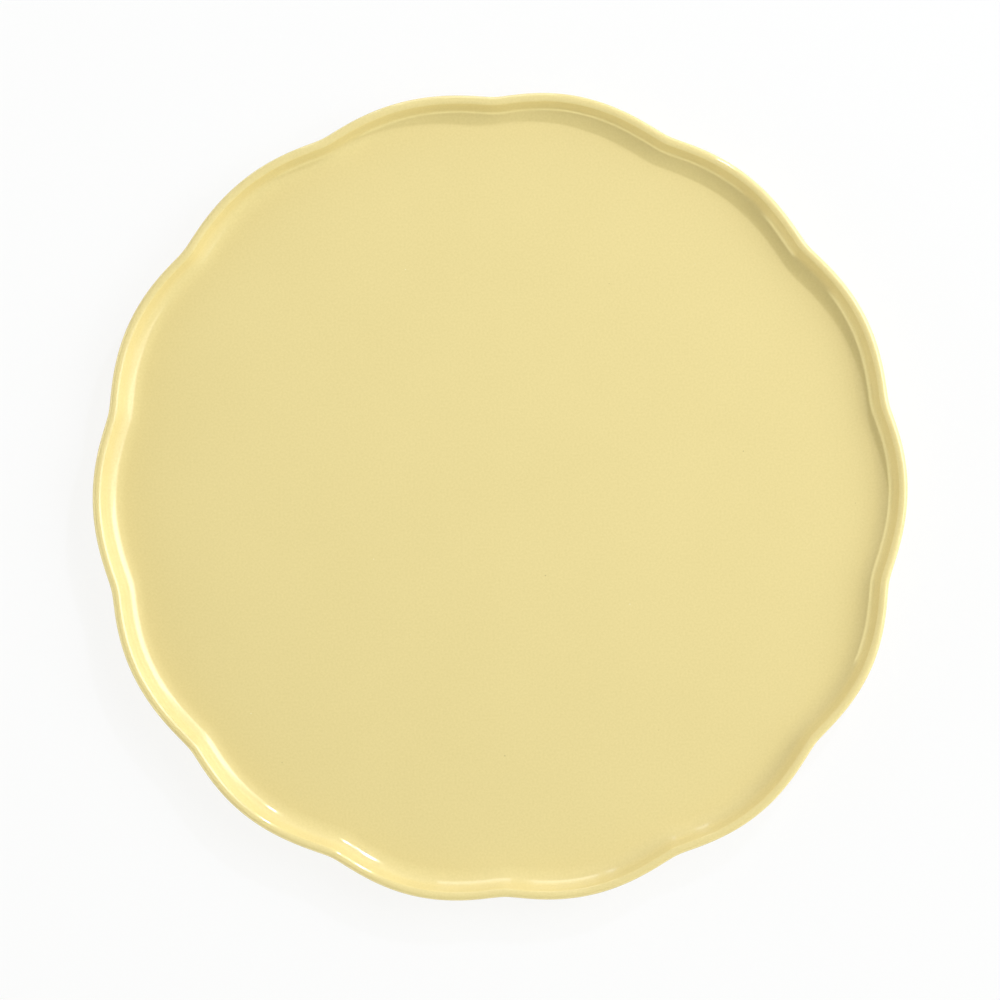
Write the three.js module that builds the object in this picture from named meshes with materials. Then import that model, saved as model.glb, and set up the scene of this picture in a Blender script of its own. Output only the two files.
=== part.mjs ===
// Round serving platter in glazed stoneware, with a low upright rim formed into scallops.
// Millimetres, +Z up. The origin is the centre of the plane that the platter stands on.

import * as THREE from "three";
import { toCreasedNormals } from "three/addons/utils/BufferGeometryUtils.js";

// Plan of the rim
const RIM_DIAMETER = 330; // over the glaze, across opposite scallop crests
const SCALLOP_COUNT = 14;
const SCALLOP_DEPTH = 3.4; // from crest to valley
const VALLEY_SOFTNESS = 0.155; // 0 is a sharp valley between two round scallops

// Section of the clay, through a scallop crest
const WELL_DEPTH = 9; // from the top of the lip down to the floor
const FLOOR_THICKNESS = 5.6;
const LIP_OUTER_RADIUS = 1.3; // of the lip's round, from its top to the outside of the wall
const LIP_INNER_RADIUS = 2.7; // and from its top inwards, as far as the lip's inner corner
const LIP_CORNER_RADIUS = 0.4; // of that corner, between the lip's round and the inside of the wall
const LIP_CORNER_SLOPE = THREE.MathUtils.degToRad(30); // where the lip's round meets the corner
const WALL_FLARE = THREE.MathUtils.degToRad(20); // from upright
const COVE_RADIUS = 6.4; // inside, at the foot of the wall
const EASE_RADIUS = 12.4; // by which the cove runs out into the floor
const EASE_SLOPE = THREE.MathUtils.degToRad(20); // where the cove meets that wider round
const HEEL_RADIUS = 8; // outside, where the wall turns under the floor

// Foot rings under the floor
const FOOT_HEIGHT = 3;
const FOOT_DRAFT = THREE.MathUtils.degToRad(15); // of the rings' sides, from upright
const FOOT_FILLET = 1.5; // between a ring's side and the underside
const OUTER_FOOT_DIAMETER = 232; // outer edge of the resting face
const OUTER_FOOT_WIDTH = 6;
const INNER_FOOT_DIAMETER = 104;
const INNER_FOOT_WIDTH = 5;
const INNER_FOOT_LIFT = 0.4; // keeps the inner ring clear of the table until the floor is loaded

// Glaze, which stops short of the resting faces
const GLAZE_THICKNESS = 0.4;
const BARE_FOOT = 1; // height of unglazed clay on a ring's sides

// Steps of the faceted surface
const STEPS_PER_SCALLOP = 6;
const EASE_STEPS = 2;
const COVE_STEPS = 3;
const LIP_CORNER_STEPS = 2;
const LIP_INNER_STEPS = 2;
const LIP_OUTER_STEPS = 3;
const HEEL_STEPS = 3;
const FILLET_STEPS = 1;
const CREASE_ANGLE = THREE.MathUtils.degToRad(40);

const GLAZE = new THREE.MeshStandardMaterial({ color: 0xeedb9b, roughness: 0.14, metalness: 0 });
const BARE_CLAY = new THREE.MeshStandardMaterial({ color: 0xd8c7a8, roughness: 0.85, metalness: 0 });

const OUT = 0;
const UP = Math.PI / 2;
const DOWN = -UP;
const STEPS = SCALLOP_COUNT * STEPS_PER_SCALLOP;

// A point of the section: its radius at a scallop crest, its height, and whether the scallops reach it.
function point(r, z, scalloped = false) {
  return { r, z, scalloped };
}

// The point at a distance from another, in the direction of an angle measured from outwards to upwards.
function away(from, angle, distance) {
  return point(from.r + distance * Math.cos(angle), from.z + distance * Math.sin(angle), from.scalloped);
}

function arc(centre, radius, start, end, steps) {
  const curve = new THREE.EllipseCurve(centre.r, centre.z, radius, radius, start, end, start > end);
  return curve.getPoints(steps).map((p) => point(p.x, p.y, centre.scalloped));
}

// Levels of the clay
const underside = FOOT_HEIGHT;
const floorTop = underside + FLOOR_THICKNESS;
const lipTop = floorTop + WELL_DEPTH;

// Centres of the rim's arcs. The wall is straight between them, and its two faces are parallel.
const outFace = -WALL_FLARE;
const inFace = Math.PI - WALL_FLARE;
const wallUp = UP - WALL_FLARE;
const lipRadius = RIM_DIAMETER / 2 - GLAZE_THICKNESS - LIP_OUTER_RADIUS; // at the lip's very top
const innerLipCentre = point(lipRadius, lipTop - LIP_INNER_RADIUS, true);
const outerLipCentre = point(lipRadius, lipTop - LIP_OUTER_RADIUS, true);
const cornerTurn = UP + LIP_CORNER_SLOPE;
const cornerCentre = away(innerLipCentre, cornerTurn, LIP_INNER_RADIUS - LIP_CORNER_RADIUS);

// An arc's centre stands at an offset beside one of the lip's, square to the wall, and at its own height.
function besideWall(lipCentre, offset, z) {
  const level = away(lipCentre, inFace, offset);
  return away(level, wallUp, (z - level.z) / Math.sin(wallUp));
}

// A round takes no more than the wall's height leaves it.
const flareSine = Math.sin(WALL_FLARE);
const easeRise = EASE_RADIUS * (1 - Math.cos(EASE_SLOPE));
const innerWallTop = cornerCentre.z + LIP_CORNER_RADIUS * flareSine;
const coveRoom = (innerWallTop - floorTop - easeRise) / (Math.cos(EASE_SLOPE) - flareSine);
const coveRadius = Math.min(COVE_RADIUS, coveRoom);
const coveZ = floorTop + easeRise + coveRadius * Math.cos(EASE_SLOPE);
const coveCentre = besideWall(cornerCentre, LIP_CORNER_RADIUS + coveRadius, coveZ);
const easeCentre = away(coveCentre, UP + EASE_SLOPE, EASE_RADIUS - coveRadius);
const outerWallTop = outerLipCentre.z - LIP_OUTER_RADIUS * flareSine;
const heelRadius = Math.min(HEEL_RADIUS, (outerWallTop - underside) / (1 - flareSine));
const heelCentre = besideWall(outerLipCentre, heelRadius - LIP_OUTER_RADIUS, underside + heelRadius);

// One side of a foot ring, from its resting edge up to the underside. It faces outwards or inwards.
function footSide(edgeRadius, restZ, outwards) {
  const face = outwards ? -FOOT_DRAFT : Math.PI + FOOT_DRAFT;
  const rising = outwards ? UP - FOOT_DRAFT : UP + FOOT_DRAFT;
  const edge = point(edgeRadius, restZ);
  const along = (z) => away(edge, rising, (z - restZ) / Math.cos(FOOT_DRAFT));
  const rise = 1 - Math.sin(FOOT_DRAFT);
  const fillet = Math.min(FOOT_FILLET, (underside - restZ - BARE_FOOT) / rise);
  const filletCentre = away(along(underside - fillet * rise), face, fillet);
  const root = outwards ? face + Math.PI : face - Math.PI;
  return { face, edge, glazeLine: along(restZ + BARE_FOOT), fillet, filletCentre, root };
}

const outerFootRadius = OUTER_FOOT_DIAMETER / 2;
const innerFootRadius = INNER_FOOT_DIAMETER / 2;
const outerFootOut = footSide(outerFootRadius, 0, true);
const outerFootIn = footSide(outerFootRadius - OUTER_FOOT_WIDTH, 0, false);
const innerFootOut = footSide(innerFootRadius, INNER_FOOT_LIFT, true);
const innerFootIn = footSide(innerFootRadius - INNER_FOOT_WIDTH, INNER_FOOT_LIFT, false);

// A side's section from the underside down to its glaze line, standing proud of the clay by a skin.
function sideDown(side, skin) {
  const radius = side.fillet - skin;
  return [
    ...arc(side.filletCentre, radius, UP, side.root, FILLET_STEPS),
    away(side.glazeLine, side.face, skin),
  ];
}

function sideUp(side, skin) {
  return sideDown(side, skin).reverse();
}

// The cove, from the floor up to the wall.
function coveSection(skin) {
  const meeting = DOWN + EASE_SLOPE;
  return [
    ...arc(easeCentre, EASE_RADIUS - skin, DOWN, meeting, EASE_STEPS),
    ...arc(coveCentre, coveRadius - skin, meeting, outFace, COVE_STEPS).slice(1),
  ];
}

// The lip's round, with points at its very top and its outermost edge.
function lipSection(skin) {
  return [
    ...arc(cornerCentre, LIP_CORNER_RADIUS + skin, inFace, cornerTurn, LIP_CORNER_STEPS),
    ...arc(innerLipCentre, LIP_INNER_RADIUS + skin, cornerTurn, UP, LIP_INNER_STEPS).slice(1),
    ...arc(outerLipCentre, LIP_OUTER_RADIUS + skin, UP, OUT, LIP_OUTER_STEPS).slice(1),
    away(outerLipCentre, outFace, LIP_OUTER_RADIUS + skin),
  ];
}

// Sections of the three glazed stretches. A skin of 0 is the clay, and the glaze's thickness its surface.
function coatSection(skin) {
  return [
    point(0, floorTop + skin),
    ...coveSection(skin),
    ...lipSection(skin),
    ...arc(heelCentre, heelRadius + skin, outFace, DOWN, HEEL_STEPS),
    ...sideDown(outerFootOut, skin),
  ];
}

function recessSection(skin) {
  return [...sideUp(outerFootIn, skin), ...sideDown(innerFootOut, skin)];
}

function centreSection(skin) {
  return [...sideUp(innerFootIn, skin), point(0, underside - skin)];
}

function claySection() {
  return [
    ...coatSection(0),
    outerFootOut.edge,
    outerFootIn.edge,
    ...recessSection(0),
    innerFootOut.edge,
    innerFootIn.edge,
    ...centreSection(0),
  ];
}

// How far the outline stands in from the crests: 0 on a crest, and the scallops' depth in a valley.
function scallopInset(angle) {
  const rise = (wave) => Math.hypot(wave, VALLEY_SOFTNESS) - VALLEY_SOFTNESS;
  return SCALLOP_DEPTH * (1 - rise(Math.cos((SCALLOP_COUNT * angle) / 2)) / rise(1));
}

// The ring that a section point makes round the axis.
function ringOf({ r, z, scalloped }) {
  return Array.from({ length: STEPS }, (_, step) => {
    const angle = (2 * Math.PI * step) / STEPS;
    const radius = scalloped ? r - scallopInset(angle) : r;
    return new THREE.Vector3(radius * Math.cos(angle), radius * Math.sin(angle), z);
  });
}

// The triangles between the rings of a section that runs outwards over the top and back underneath.
function sweep(section) {
  const rings = section.map(ringOf);
  const triangles = [];
  for (let i = 0; i + 1 < rings.length; i += 1) {
    for (let step = 0; step < STEPS; step += 1) {
      const next = (step + 1) % STEPS;
      const here = rings[i];
      const there = rings[i + 1];
      if (section[i + 1].r > 0) triangles.push([here[step], there[step], there[next]]);
      if (section[i].r > 0) triangles.push([here[step], there[next], here[next]]);
    }
  }
  return triangles;
}

function turnedOver(triangles) {
  return triangles.map(([a, b, c]) => [a, c, b]);
}

// A layer between its own surface and the clay beneath it, closed at the ends that are off the axis.
function layer(surface, clay) {
  const triangles = [...sweep(surface), ...turnedOver(sweep(clay))];
  if (surface[0].r > 0) triangles.push(...sweep([clay[0], surface[0]]));
  if (surface.at(-1).r > 0) triangles.push(...sweep([surface.at(-1), clay.at(-1)]));
  return triangles;
}

function glazeLayer(section) {
  return layer(section(GLAZE_THICKNESS), section(0));
}

function piece(name, triangles, material) {
  const geometry = new THREE.BufferGeometry().setFromPoints(triangles.flat());
  const mesh = new THREE.Mesh(toCreasedNormals(geometry, CREASE_ANGLE), material);
  mesh.name = name;
  return mesh;
}

const platter = new THREE.Group();
platter.name = "round_serving_platter";
platter.add(
  piece("stoneware_body", sweep(claySection()), BARE_CLAY),
  piece("glaze_coat", glazeLayer(coatSection), GLAZE),
  piece("foot_recess_glaze", glazeLayer(recessSection), GLAZE),
  piece("centre_glaze", glazeLayer(centreSection), GLAZE),
);

export default platter;
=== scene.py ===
import math

import bpy
import numpy as np
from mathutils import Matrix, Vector


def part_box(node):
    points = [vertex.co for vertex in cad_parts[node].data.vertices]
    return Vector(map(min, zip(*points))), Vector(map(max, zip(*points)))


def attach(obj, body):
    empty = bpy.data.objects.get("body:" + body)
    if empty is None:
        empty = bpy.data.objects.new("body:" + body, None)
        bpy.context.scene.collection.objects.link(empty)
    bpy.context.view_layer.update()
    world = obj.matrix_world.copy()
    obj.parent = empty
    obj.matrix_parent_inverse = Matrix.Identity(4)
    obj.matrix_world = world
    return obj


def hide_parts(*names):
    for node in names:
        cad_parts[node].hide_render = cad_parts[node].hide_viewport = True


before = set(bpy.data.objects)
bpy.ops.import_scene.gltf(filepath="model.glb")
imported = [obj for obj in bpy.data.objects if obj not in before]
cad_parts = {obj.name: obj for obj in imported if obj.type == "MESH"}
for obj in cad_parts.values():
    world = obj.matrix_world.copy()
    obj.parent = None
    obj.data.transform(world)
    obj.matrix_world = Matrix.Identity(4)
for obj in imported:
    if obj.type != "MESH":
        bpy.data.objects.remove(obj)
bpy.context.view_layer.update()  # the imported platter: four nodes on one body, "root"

# Sizes in metres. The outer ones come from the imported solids, and the rest are those they were built from.
MM = 0.001
RIM_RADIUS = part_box("glaze_coat")[1][0]
LIP_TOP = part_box("stoneware_body")[1][2]
GLAZE_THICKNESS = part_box("glaze_coat")[1][2] - LIP_TOP
SCALLOP_COUNT = 14
SCALLOP_DEPTH = 3.4 * MM
VALLEY_SOFTNESS = 0.155  # 0 is a sharp valley between two round scallops
WELL_DEPTH = 9 * MM
LIP_OUTER_RADIUS = 1.3 * MM
LIP_INNER_RADIUS = 2.7 * MM
LIP_CORNER_RADIUS = 0.4 * MM
LIP_CORNER_SLOPE = math.radians(30)
WALL_FLARE = math.radians(20)
COVE_RADIUS = 6.4 * MM
EASE_RADIUS = 12.4 * MM
EASE_SLOPE = math.radians(20)
HEEL_RADIUS = 8 * MM
FOOT_HEIGHT = 3 * MM
FOOT_DRAFT = math.radians(15)
FOOT_FILLET = 1.5 * MM
FOOT_EASE = 0.7 * MM  # rounding of the resting edges
OUTER_FOOT_RADIUS = 116 * MM
OUTER_FOOT_WIDTH = 6 * MM
INNER_FOOT_RADIUS = 52 * MM
INNER_FOOT_WIDTH = 5 * MM
INNER_FOOT_LIFT = 0.4 * MM
BARE_FOOT = 1 * MM

# Slow unevenness of the hand-finished rim: waves round the rim, their size, and the angle of a crest
RIM_WAVES = (
    (2, 0.33 * MM, math.radians(141)),
    (5, 0.2 * MM, math.radians(10)),
    (6, 0.27 * MM, math.radians(24)),
    (7, 0.13 * MM, math.radians(15)),
    (10, 0.14 * MM, math.radians(11)),
    (13, 0.13 * MM, math.radians(4)),
)

# Fineness of the meshes. The glaze's surface is fine, and the clay under it is coarse.
STEPS_PER_SCALLOP = 48
STEPS = SCALLOP_COUNT * STEPS_PER_SCALLOP
FINE = {"cove": 12, "corner": 8, "lip": 14, "heel": 14, "straight": 6, "foot": 6}
COARSE = {"cove": 3, "corner": 2, "lip": 4, "heel": 4, "straight": 1, "foot": 2}
FOOT_SIDE_STEPS = 2
RESTING_EDGE_STEPS = 5
MERGE = 1e-7  # points closer than this are one

# Directions in a section, as angles that turn from outwards to upwards
UP = math.pi / 2
DOWN = -UP
OUT_FACE = -WALL_FLARE
IN_FACE = math.pi - WALL_FLARE
WALL_UP = UP - WALL_FLARE
CORNER_TURN = UP + LIP_CORNER_SLOPE
COVE_TURN = DOWN + EASE_SLOPE

FLOOR_TOP = LIP_TOP - WELL_DEPTH


# Section points are rows of radius at a scallop crest, height, and how far the scallops reach them.
def point(r, z, scallop=0.0):
    return np.array([[r, z, scallop]])


def away(start, angle, distance):
    """The point at a distance from another, in the direction of an angle."""
    r, z, scallop = start[0]
    return point(r + distance * math.cos(angle), z + distance * math.sin(angle), scallop)


def arc(centre, radius, start, end, steps):
    turn = np.linspace(start, end, steps + 1)
    r, z, scallop = centre[0]
    reach = np.full_like(turn, scallop)
    return np.column_stack([r + radius * np.cos(turn), z + radius * np.sin(turn), reach])


def joined(*stretches, steps=1):
    """One section through the stretches in turn, with the straight runs between them cut into steps."""
    rows = [stretches[0]]
    for stretch in stretches[1:]:
        share = np.linspace(0, 1, steps + 1)[1:-1, None]
        rows.append(rows[-1][-1] * (1 - share) + stretch[0] * share)
        rows.append(stretch)
    section = np.vstack(rows)
    apart = np.linalg.norm(np.diff(section[:, :2], axis=0), axis=1)
    return section[np.append(True, apart > MERGE)]


# Centres of the rim's arcs
lip_radius = RIM_RADIUS - GLAZE_THICKNESS - LIP_OUTER_RADIUS
inner_lip_centre = point(lip_radius, LIP_TOP - LIP_INNER_RADIUS, 1.0)
outer_lip_centre = point(lip_radius, LIP_TOP - LIP_OUTER_RADIUS, 1.0)
corner_centre = away(inner_lip_centre, CORNER_TURN, LIP_INNER_RADIUS - LIP_CORNER_RADIUS)


def beside_wall(lip_centre, offset, z):
    """An arc's centre, at an offset beside one of the lip's, square to the wall, and at its own height."""
    level = away(lip_centre, IN_FACE, offset)
    return away(level, WALL_UP, (z - level[0, 1]) / math.sin(WALL_UP))


ease_rise = EASE_RADIUS * (1 - math.cos(EASE_SLOPE))
cove_z = FLOOR_TOP + ease_rise + COVE_RADIUS * math.cos(EASE_SLOPE)
cove_centre = beside_wall(corner_centre, LIP_CORNER_RADIUS + COVE_RADIUS, cove_z)
ease_centre = away(cove_centre, UP + EASE_SLOPE, EASE_RADIUS - COVE_RADIUS)
heel_centre = beside_wall(outer_lip_centre, HEEL_RADIUS - LIP_OUTER_RADIUS, FOOT_HEIGHT + HEEL_RADIUS)


class FootSide:
    """One side of a foot ring, from its resting edge up to the underside."""

    def __init__(self, edge_radius, rest_z, outwards):
        self.face = -FOOT_DRAFT if outwards else math.pi + FOOT_DRAFT
        self.rising = UP - FOOT_DRAFT if outwards else UP + FOOT_DRAFT
        self.root = self.face + math.pi if outwards else self.face - math.pi
        self.bead_end = self.face - UP if outwards else self.face + UP
        self.rest_face = DOWN if outwards else DOWN + 2 * math.pi
        self.rest_z = rest_z
        self.edge = point(edge_radius, rest_z)
        rise = FOOT_FILLET * (1 - math.sin(FOOT_DRAFT))
        self.fillet_centre = away(self.along(FOOT_HEIGHT - rise), self.face, FOOT_FILLET)

    def along(self, z):
        return away(self.edge, self.rising, (z - self.rest_z) / math.cos(FOOT_DRAFT))

    def down(self, skin, steps):
        """From the underside to the glaze line, proud of the clay by a skin that ends in a round bead."""
        fillet = arc(self.fillet_centre, FOOT_FILLET - skin, UP, self.root, steps)
        glaze_line = self.along(self.rest_z + BARE_FOOT)
        if skin == 0:
            return joined(fillet, glaze_line)
        bead_centre = away(glaze_line, self.rising, skin)
        bead = arc(bead_centre, skin, self.face, self.bead_end, steps)
        return joined(fillet, bead, steps=FOOT_SIDE_STEPS)

    def up(self, skin, steps):
        return self.down(skin, steps)[::-1]

    def eased_edge(self):
        """The resting edge, rounded, from the side to the resting face."""
        reach = FOOT_EASE * math.tan((UP - FOOT_DRAFT) / 2)
        side_end = away(self.edge, self.rising, reach)
        centre = away(side_end, self.face + math.pi, FOOT_EASE)
        return arc(centre, FOOT_EASE, self.face, self.rest_face, RESTING_EDGE_STEPS)


outer_out = FootSide(OUTER_FOOT_RADIUS, 0.0, True)
outer_in = FootSide(OUTER_FOOT_RADIUS - OUTER_FOOT_WIDTH, 0.0, False)
inner_out = FootSide(INNER_FOOT_RADIUS, INNER_FOOT_LIFT, True)
inner_in = FootSide(INNER_FOOT_RADIUS - INNER_FOOT_WIDTH, INNER_FOOT_LIFT, False)


# Sections of the glazed stretches. A skin of 0 is the clay, and the glaze's thickness its surface.
def coat_section(skin, steps):
    """From the middle of the floor over the lip to the glaze line of the outer foot ring."""
    return joined(
        point(0, FLOOR_TOP + skin),
        arc(ease_centre, EASE_RADIUS - skin, DOWN, COVE_TURN, steps["cove"]),
        arc(cove_centre, COVE_RADIUS - skin, COVE_TURN, OUT_FACE, steps["cove"]),
        arc(corner_centre, LIP_CORNER_RADIUS + skin, IN_FACE, CORNER_TURN, steps["corner"]),
        arc(inner_lip_centre, LIP_INNER_RADIUS + skin, CORNER_TURN, UP, steps["corner"]),
        arc(outer_lip_centre, LIP_OUTER_RADIUS + skin, UP, OUT_FACE, steps["lip"]),
        arc(heel_centre, HEEL_RADIUS + skin, OUT_FACE, DOWN, steps["heel"]),
        outer_out.down(skin, steps["foot"]),
        steps=steps["straight"],
    )


def recess_section(skin, steps):
    """From the outer foot ring's glaze line across the recess to the inner one's."""
    foot = steps["foot"]
    return joined(outer_in.up(skin, foot), inner_out.down(skin, foot), steps=foot)


def centre_section(skin, steps):
    """From the inner foot ring's glaze line to the middle of the underside."""
    foot = steps["foot"]
    return joined(inner_in.up(skin, foot), point(0, FOOT_HEIGHT - skin), steps=foot)


def clay_section():
    return joined(
        coat_section(0, COARSE),
        outer_out.eased_edge(),
        outer_in.eased_edge()[::-1],
        recess_section(0, COARSE),
        inner_out.eased_edge(),
        inner_in.eased_edge()[::-1],
        centre_section(0, COARSE),
    )


def loop_round(section_of):
    """The section of a glaze layer: along its surface, then back along the clay to where it began."""
    loop = joined(section_of(GLAZE_THICKNESS, FINE), section_of(0, COARSE)[::-1])
    meets = np.linalg.norm(loop[0, :2] - loop[-1, :2]) < MERGE
    return loop[:-1] if meets else loop


def rim_offset(angle):
    """How far the outline at an angle stands out from the scallop crests' circle."""
    crest = math.hypot(1, VALLEY_SOFTNESS) - VALLEY_SOFTNESS
    height = np.hypot(np.cos(SCALLOP_COUNT * angle / 2), VALLEY_SOFTNESS) - VALLEY_SOFTNESS
    offset = SCALLOP_DEPTH * (height / crest - 1)
    for count, size, crest_angle in RIM_WAVES:
        offset = offset + size * np.cos(count * (angle - crest_angle))
    return offset


def swept(name, section):
    """A closed mesh object: the section turned about Z, from its last point back to its first."""
    angle = np.linspace(0, 2 * math.pi, STEPS, endpoint=False)
    offset = rim_offset(angle)
    vertices, rings, count = [], [], 0
    for r, z, scallop in section:
        radius = r + scallop * offset
        ring = np.column_stack([radius * np.cos(angle), radius * np.sin(angle), np.full(STEPS, z)])
        on_axis = r < MERGE
        vertices.append(ring[:1] if on_axis else ring)
        rings.append((on_axis, count + (np.zeros(STEPS, int) if on_axis else np.arange(STEPS))))
        count += 1 if on_axis else STEPS
    faces = []
    for (here_on_axis, here), (there_on_axis, there) in zip(rings, rings[1:] + rings[:1]):
        if here_on_axis and there_on_axis:
            continue
        corners = [here, there]
        if not there_on_axis:
            corners.append(np.roll(there, -1))
        if not here_on_axis:
            corners.append(np.roll(here, -1))
        faces += np.column_stack(corners).tolist()
    mesh = bpy.data.meshes.new(name)
    mesh.from_pydata(np.vstack(vertices).tolist(), [], faces)
    mesh.shade_smooth()
    piece = bpy.data.objects.new(name, mesh)
    bpy.context.collection.objects.link(piece)
    return piece


# Colours of the glaze and the clay, as linear red, green and blue with alpha
GLAZE_DEEP = (0.836, 0.687, 0.314, 1)
GLAZE_PALE = (0.888, 0.733, 0.347, 1)
GLAZE_SHEEN = (1.0, 0.95, 0.8, 1)
PINHOLE = (0.66, 0.52, 0.24, 1)
BUBBLE = (0.95, 0.84, 0.52, 1)
CLAY_DEEP = (0.66, 0.54, 0.36, 1)
CLAY_PALE = (0.73, 0.61, 0.43, 1)
SAND = (0.57, 0.45, 0.29, 1)
IRON = (0.24, 0.15, 0.09, 1)

GLAZE_IOR = 1.9
GRAIN_SHARE = 0.8  # of fine grain in the glaze's mottling, the rest being clouds
NOISE_RANGE = (0.3, 0.7)  # where nearly all of a noise lies
SPECK_CORE = 0.6  # share of a speck's radius inside its soft edge


def socket(sockets, identifier):
    """The socket with this identifier, as some sockets of a node share a name."""
    return next(found for found in sockets if found.identifier == identifier)


def add_node(tree, kind, inputs, **settings):
    """A new node, with each input set to a value or joined to another node's output."""
    node = tree.nodes.new(kind)
    for name, value in settings.items():
        setattr(node, name, value)
    for identifier, value in inputs.items():
        target = socket(node.inputs, identifier)
        if isinstance(value, bpy.types.NodeSocket):
            tree.links.new(value, target)
        else:
            target.default_value = value
    return node


def noise(tree, place, size, detail=2.0):
    """Soft random grey, about 0.5, whose patches are of this size."""
    inputs = {"Vector": place, "Scale": 1 / size, "Detail": detail}
    return add_node(tree, "ShaderNodeTexNoise", inputs).outputs["Fac"]


def spread(tree, value, low=0.0, high=1.0):
    """A noise stretched over the range from low to high."""
    start, end = NOISE_RANGE
    inputs = {"Value": value, "From Min": start, "From Max": end, "To Min": low, "To Max": high}
    return add_node(tree, "ShaderNodeMapRange", inputs).outputs["Result"]


def blend(tree, share, first, second):
    """Two colours mixed by a share."""
    inputs = {"Factor_Float": share, "A_Color": first, "B_Color": second}
    mix = add_node(tree, "ShaderNodeMix", inputs, data_type="RGBA")
    return socket(mix.outputs, "Result_Color")


def arithmetic(tree, operation, first, second):
    inputs = {"Value": first, "Value_001": second}
    return add_node(tree, "ShaderNodeMath", inputs, operation=operation).outputs["Value"]


def specks(tree, place, spacing, radius, kept):
    """1 inside scattered round specks and 0 around them: one in each cell, of which a share is kept."""
    cells = add_node(tree, "ShaderNodeTexVoronoi", {"Vector": place, "Scale": 1 / spacing})
    inputs = {
        "Value": cells.outputs["Distance"],
        "From Min": SPECK_CORE * radius / spacing,
        "From Max": radius / spacing,
        "To Min": 1.0,
        "To Max": 0.0,
    }
    inside = add_node(tree, "ShaderNodeMapRange", inputs).outputs["Result"]
    lot = add_node(tree, "ShaderNodeSeparateColor", {"Color": cells.outputs["Color"]}).outputs["Red"]
    chosen = arithmetic(tree, "LESS_THAN", lot, kept)
    return arithmetic(tree, "MULTIPLY", inside, chosen)


def bumps(tree, height, depth):
    """The surface's normal, tilted as if a noise stood out by this depth."""
    return add_node(tree, "ShaderNodeBump", {"Height": height, "Distance": depth}).outputs["Normal"]


def new_material(name):
    material = bpy.data.materials.new(name)
    material.use_nodes = True
    tree = material.node_tree
    place = add_node(tree, "ShaderNodeTexCoord", {}).outputs["Object"]
    return material, tree, place, tree.nodes["Principled BSDF"]


def glaze_material():
    """Pale yellow glossy glaze: faint clouds and grain, rare pinholes and bubbles, and a wavy skin."""
    material, tree, place, shader = new_material("pale_yellow_glaze")
    clouds = spread(tree, noise(tree, place, size=45 * MM))
    grain = spread(tree, noise(tree, place, size=0.9 * MM))
    shares = {"Factor_Float": GRAIN_SHARE, "A_Float": clouds, "B_Float": grain}
    mottle = socket(add_node(tree, "ShaderNodeMix", shares).outputs, "Result_Float")
    mottled = blend(tree, mottle, GLAZE_DEEP, GLAZE_PALE)
    pinholes = specks(tree, place, spacing=9 * MM, radius=0.35 * MM, kept=0.1)
    pitted = blend(tree, pinholes, mottled, PINHOLE)
    bubbles = specks(tree, place, spacing=13 * MM, radius=0.3 * MM, kept=0.2)
    colour = blend(tree, bubbles, pitted, BUBBLE)
    roughness = spread(tree, noise(tree, place, size=12 * MM), low=0.05, high=0.075)
    skin = bumps(tree, noise(tree, place, size=6 * MM), depth=0.012 * MM)
    tree.links.new(colour, shader.inputs["Base Color"])
    tree.links.new(roughness, shader.inputs["Roughness"])
    tree.links.new(skin, shader.inputs["Normal"])
    shader.inputs["IOR"].default_value = GLAZE_IOR
    shader.inputs["Specular Tint"].default_value = GLAZE_SHEEN
    return material


def clay_material():
    """Buff fired clay: dry, sandy, and flecked with iron."""
    material, tree, place, shader = new_material("bare_fired_clay")
    clouds = spread(tree, noise(tree, place, size=14 * MM, detail=4.0))
    buff = blend(tree, clouds, CLAY_DEEP, CLAY_PALE)
    sand = spread(tree, noise(tree, place, size=0.8 * MM), low=0.0, high=0.5)
    sandy = blend(tree, sand, buff, SAND)
    iron = specks(tree, place, spacing=3 * MM, radius=0.3 * MM, kept=0.5)
    colour = blend(tree, iron, sandy, IRON)
    roughness = spread(tree, noise(tree, place, size=2 * MM), low=0.78, high=0.92)
    skin = bumps(tree, noise(tree, place, size=0.7 * MM), depth=0.08 * MM)
    tree.links.new(colour, shader.inputs["Base Color"])
    tree.links.new(roughness, shader.inputs["Roughness"])
    tree.links.new(skin, shader.inputs["Normal"])
    return material


def dress(piece, node, material):
    """The piece takes its material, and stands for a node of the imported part."""
    piece.data.materials.append(material)
    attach(piece, "root")
    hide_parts(node)


glaze = glaze_material()
dress(swept("fired_clay_body", clay_section()), "stoneware_body", clay_material())
dress(swept("glossy_glaze_coat", loop_round(coat_section)), "glaze_coat", glaze)
dress(swept("recess_glaze_ring", loop_round(recess_section)), "foot_recess_glaze", glaze)
dress(swept("centre_glaze_disc", loop_round(centre_section)), "centre_glaze", glaze)

# Lamps. A glint shows only in reflections, and stands nearer than its lamp, which would hide it.
LAMP_DISTANCE = 2.1
GLINT_DISTANCE = 2.0
WHITE_POWER = 4.0  # watts for each square metre of a rectangle that shows as white
DAYLIGHT = (0.95, 1.0, 1.1)
COOL = (0.95, 1.0, 1.3)
PALE = (0.94, 0.98, 1.18)
WARM = (0.95, 0.94, 0.58)


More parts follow.
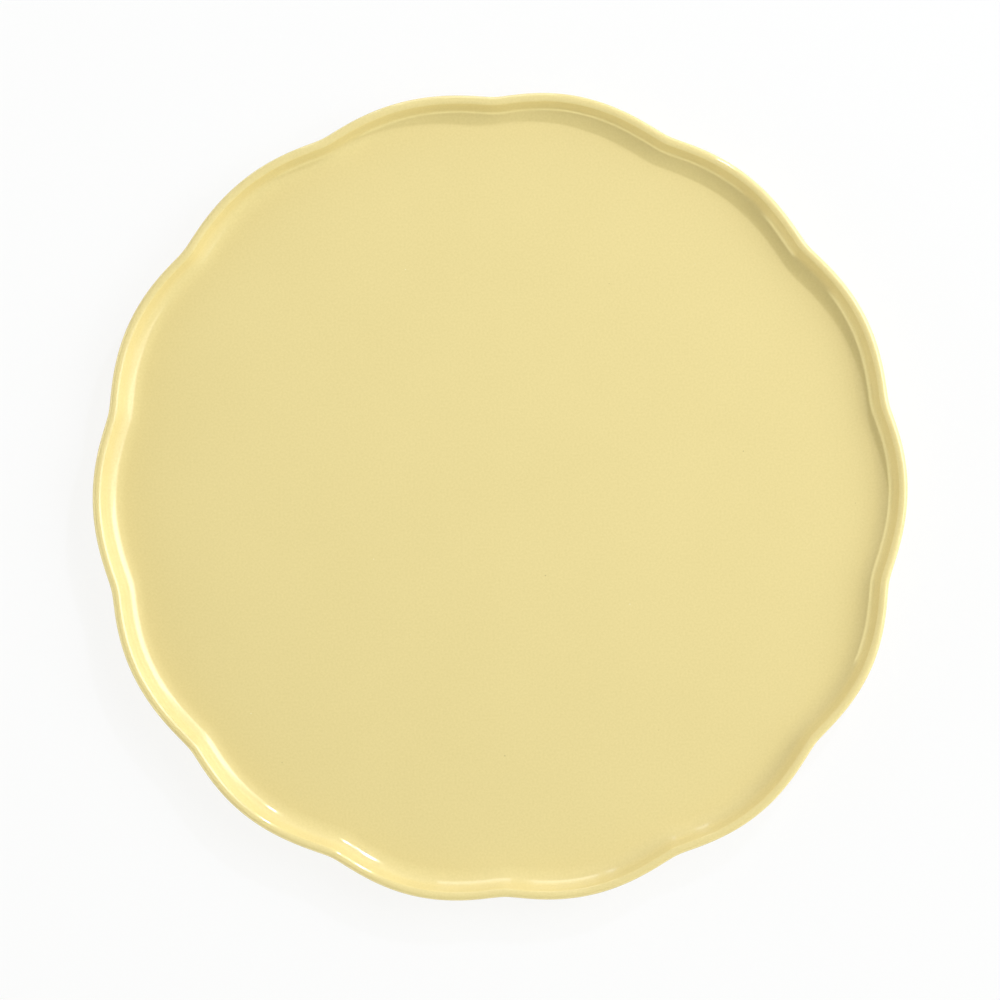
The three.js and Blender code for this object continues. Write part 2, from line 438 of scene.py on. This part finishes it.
def lamp(name, azimuths, elevations, brightness, colour=DAYLIGHT, oval=False, lights=True, shows=True):
    """A flat lamp that fills these degrees of azimuth and elevation, for light, reflections or both."""
    distance = LAMP_DISTANCE if lights else GLINT_DISTANCE
    turn = math.radians(sum(azimuths) / 2)
    tilt = math.radians(sum(elevations) / 2)
    half_turn = math.radians(azimuths[1] - azimuths[0]) / 2
    half_tilt = math.radians(elevations[1] - elevations[0]) / 2
    data = bpy.data.lights.new(name, "AREA")
    data.shape = "ELLIPSE" if oval else "RECTANGLE"
    data.size = 2 * distance * math.tan(half_turn) * math.cos(tilt)
    data.size_y = 2 * distance * math.tan(half_tilt)
    data.color = colour
    data.energy = WHITE_POWER * data.size * data.size_y * brightness
    level = distance * math.cos(tilt)
    place = Vector((level * math.cos(turn), level * math.sin(turn), distance * math.sin(tilt)))
    holder = bpy.data.objects.new(name, data)
    holder.location = place
    holder.rotation_euler = place.to_track_quat("Z", "Y").to_euler()
    holder.visible_diffuse = lights
    holder.visible_glossy = shows
    bpy.context.collection.objects.link(holder)


lamp("strobe", (56.5, 59.5), (39.2, 41.4), 352, colour=COOL, oval=True, shows=False)
lamp("strobe_glint", (55.5, 60.5), (39.8, 40.8), 280, oval=True, lights=False)
lamp("softbox", (2, 37), (22, 58), 1.5)
lamp("softbox_middle", (-10, 44), (18, 62), 0.78)
lamp("softbox_edge", (-26, 50), (14, 66), 0.62)
lamp("right_board", (-20, 80), (3, 15), 0.4)
lamp("left_board", (155, 219), (0, 26), 1.75, colour=PALE, shows=False)
lamp("left_board_glint", (155, 219), (0, 26), 1.75, colour=WARM, lights=False)
lamp("back_board", (84, 106), (0, 27), 1.3)
lamp("back_strip", (109, 112), (0, 27), 1.3)
lamp("front_strip", (229, 298), (0, 8), 2.3, shows=False)
lamp("front_strip_glint", (229, 298), (0, 8), 2.0, colour=WARM, lights=False)

# The floor, a sheet of white paper
FLOOR_SIZE = 12.0
FLOOR_GAP = 0.05 * MM  # under the foot ring
PAPER = (0.86, 0.86, 0.86, 1)
WHITE_SHARE = 0.86  # of plain white in what is seen of the paper, the rest showing its shadows


def mixed(tree, share, first, second):
    """Two shaders mixed by a share."""
    inputs = {"Fac": share, "Shader": first, "Shader_001": second}
    return add_node(tree, "ShaderNodeMixShader", inputs).outputs["Shader"]


def floor_material():
    """White paper, which looks whiter than it lights the platter."""
    material = bpy.data.materials.new("white_sweep")
    material.use_nodes = True
    tree = material.node_tree
    tree.nodes.clear()
    paper = add_node(tree, "ShaderNodeBsdfDiffuse", {"Color": PAPER}).outputs["BSDF"]
    white = add_node(tree, "ShaderNodeEmission", {}).outputs["Emission"]
    whiter = mixed(tree, WHITE_SHARE, paper, white)
    path = add_node(tree, "ShaderNodeLightPath", {}).outputs
    camera_or_glossy = arithmetic(tree, "MAXIMUM", path["Is Camera Ray"], path["Is Glossy Ray"])
    any_view = arithmetic(tree, "MAXIMUM", camera_or_glossy, path["Is Transmission Ray"])
    add_node(tree, "ShaderNodeOutputMaterial", {"Surface": mixed(tree, any_view, paper, whiter)})
    return material


bpy.ops.mesh.primitive_plane_add(size=FLOOR_SIZE)
floor = bpy.context.object
floor.name = "studio_floor"
floor.location.z = -FLOOR_GAP
floor.data.materials.append(floor_material())

# The studio's own soft light, brighter on the softbox's side
SKY_COLOUR = (1.0, 1.0, 0.72, 1)
SKY_LEVELS = (0.235, 0.66)  # on the dim side and on the bright one
SKY_BRIGHT_AZIMUTH = math.radians(-5)


def light_sky():
    world = bpy.data.worlds.new("studio")
    bpy.context.scene.world = world
    world.use_nodes = True
    tree = world.node_tree
    bright_side = (math.cos(SKY_BRIGHT_AZIMUTH), math.sin(SKY_BRIGHT_AZIMUTH), 0.0)
    direction = add_node(tree, "ShaderNodeTexCoord", {}).outputs["Generated"]
    pair = {"Vector": direction, "Vector_001": bright_side}
    facing = add_node(tree, "ShaderNodeVectorMath", pair, operation="DOT_PRODUCT").outputs["Value"]
    dim, bright = SKY_LEVELS
    span = {"Value": facing, "From Min": -1.0, "From Max": 1.0, "To Min": dim, "To Max": bright}
    level = add_node(tree, "ShaderNodeMapRange", span).outputs["Result"]
    sky = tree.nodes["Background"]
    sky.inputs["Color"].default_value = SKY_COLOUR
    tree.links.new(level, sky.inputs["Strength"])


light_sky()

# The camera looks straight down, as in the photograph, whose frame is PHOTO_SIDE pixels a side
PHOTO_SIDE = 1000
RIM_PIXELS = 408.05  # from the middle to a scallop crest
MIDDLE_PIXEL = (499.23, 496.75)
TURN_IN_PHOTO = math.radians(0.69)
CAMERA_HEIGHT = 1.6
SENSOR = 36.0
rim_height = outer_lip_centre[0, 1]
pixel = RIM_RADIUS / RIM_PIXELS
half = (PHOTO_SIDE - 1) / 2
camera_data = bpy.data.cameras.new("overhead")
camera_data.sensor_width = SENSOR
camera_data.lens = SENSOR * (CAMERA_HEIGHT - rim_height) / (PHOTO_SIDE * pixel)
camera = bpy.data.objects.new("overhead", camera_data)
camera.location = ((half - MIDDLE_PIXEL[0]) * pixel, (MIDDLE_PIXEL[1] - half) * pixel, CAMERA_HEIGHT)
camera.rotation_euler = (0, 0, -TURN_IN_PHOTO)
bpy.context.collection.objects.link(camera)
bpy.context.scene.camera = camera

bpy.context.scene.view_settings.view_transform = "Standard"
